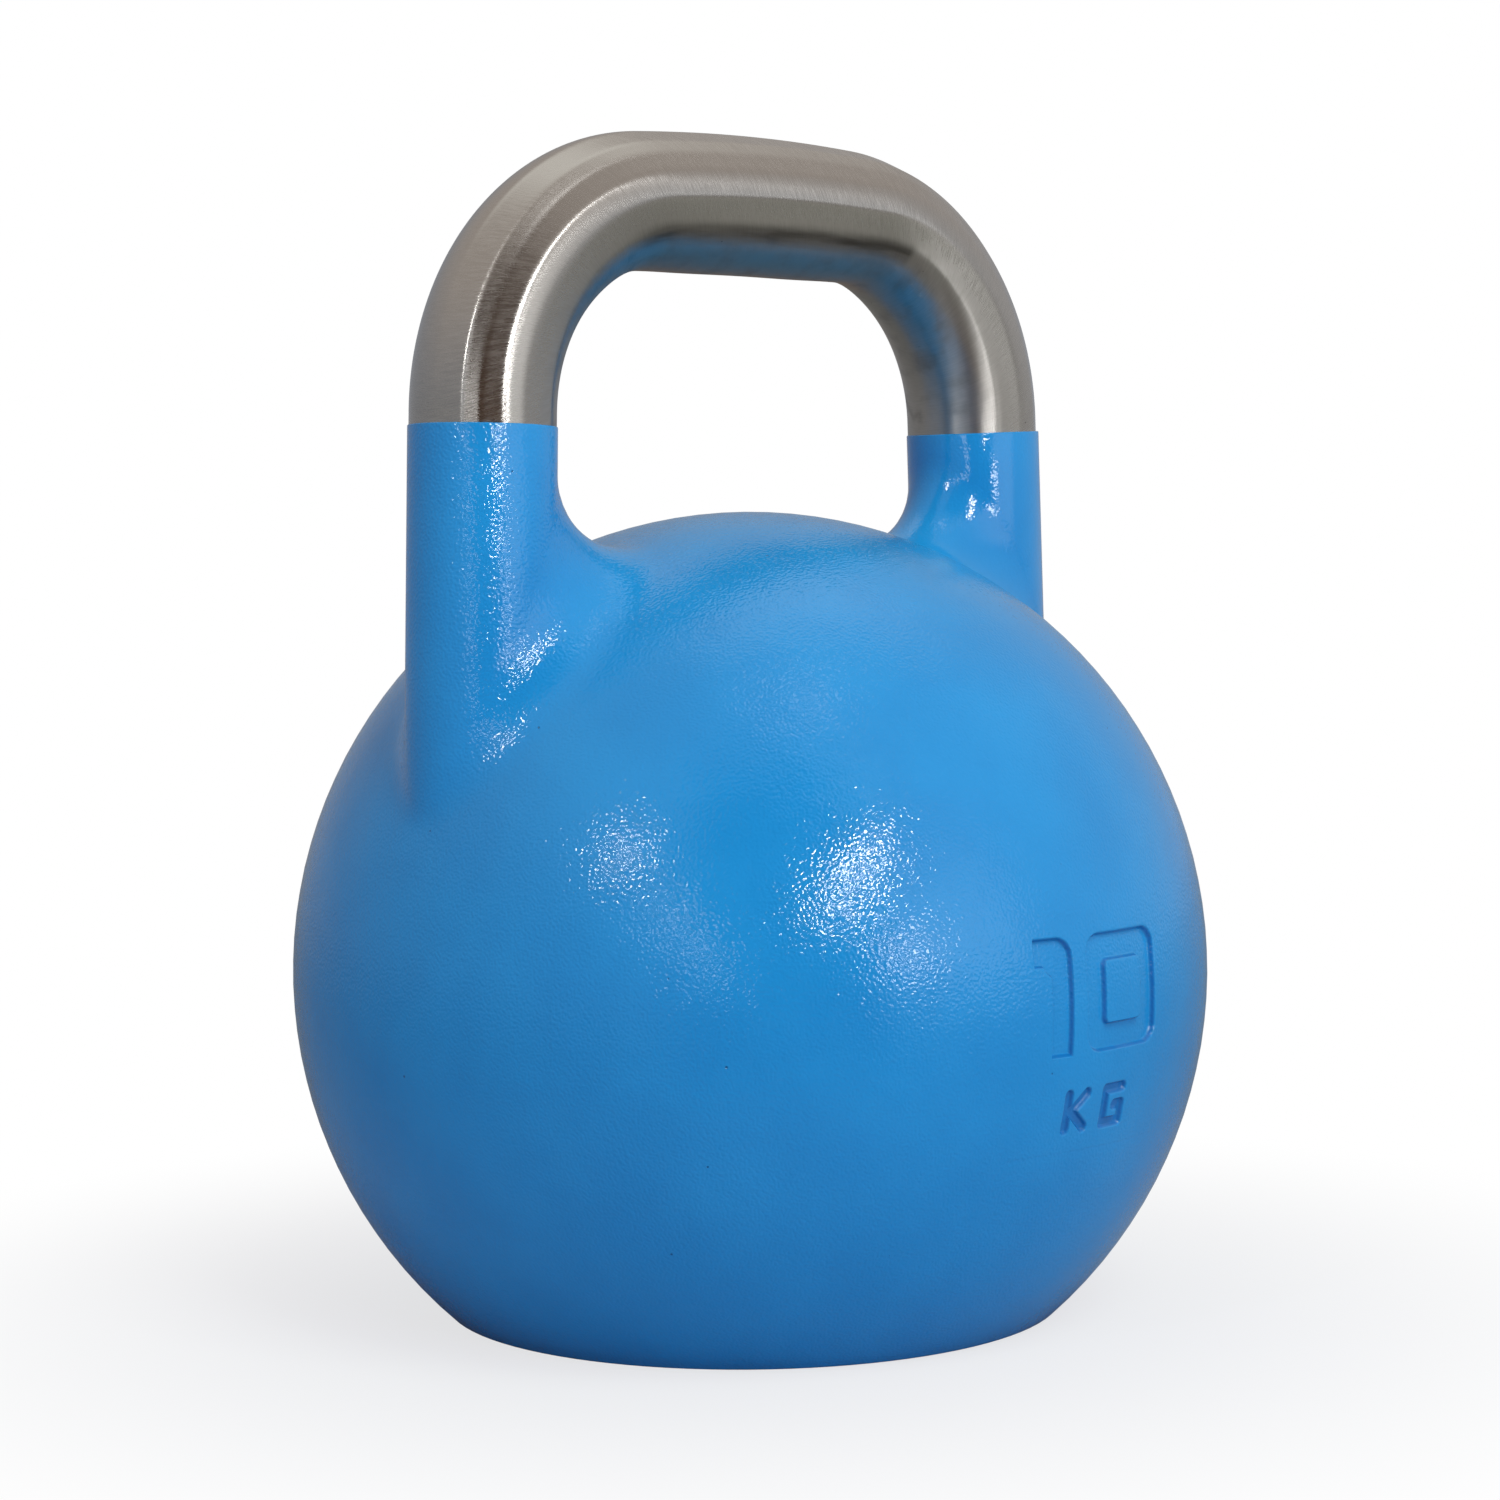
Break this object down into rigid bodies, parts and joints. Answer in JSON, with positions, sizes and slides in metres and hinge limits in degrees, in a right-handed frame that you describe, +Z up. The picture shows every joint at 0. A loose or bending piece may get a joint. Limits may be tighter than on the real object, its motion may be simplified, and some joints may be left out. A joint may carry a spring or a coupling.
{
  "type": "kettlebell",
  "caption": "Competition kettlebell: a hollow painted steel ball on a flat foot, with two horns that carry a bare round-bar handle. It is swung, pressed and carried by hand.",
  "frame": {"origin": "centre of the flat foot, on the floor", "axes": "+Z up, X along the handle's top bar, -Y towards the front of the ball"},
  "size_m": [0.21, 0.21, 0.2683],
  "materials": {
    "enamel": "glossy blue paint over cast steel, with a fine pebbled skin",
    "bare_steel": "bare steel, ground across the bar"
  },
  "bodies": {
    "root": {"ball_shell": "enamel", "handle": "bare_steel", "core_plug": "enamel"}
  },
  "joints": []
}
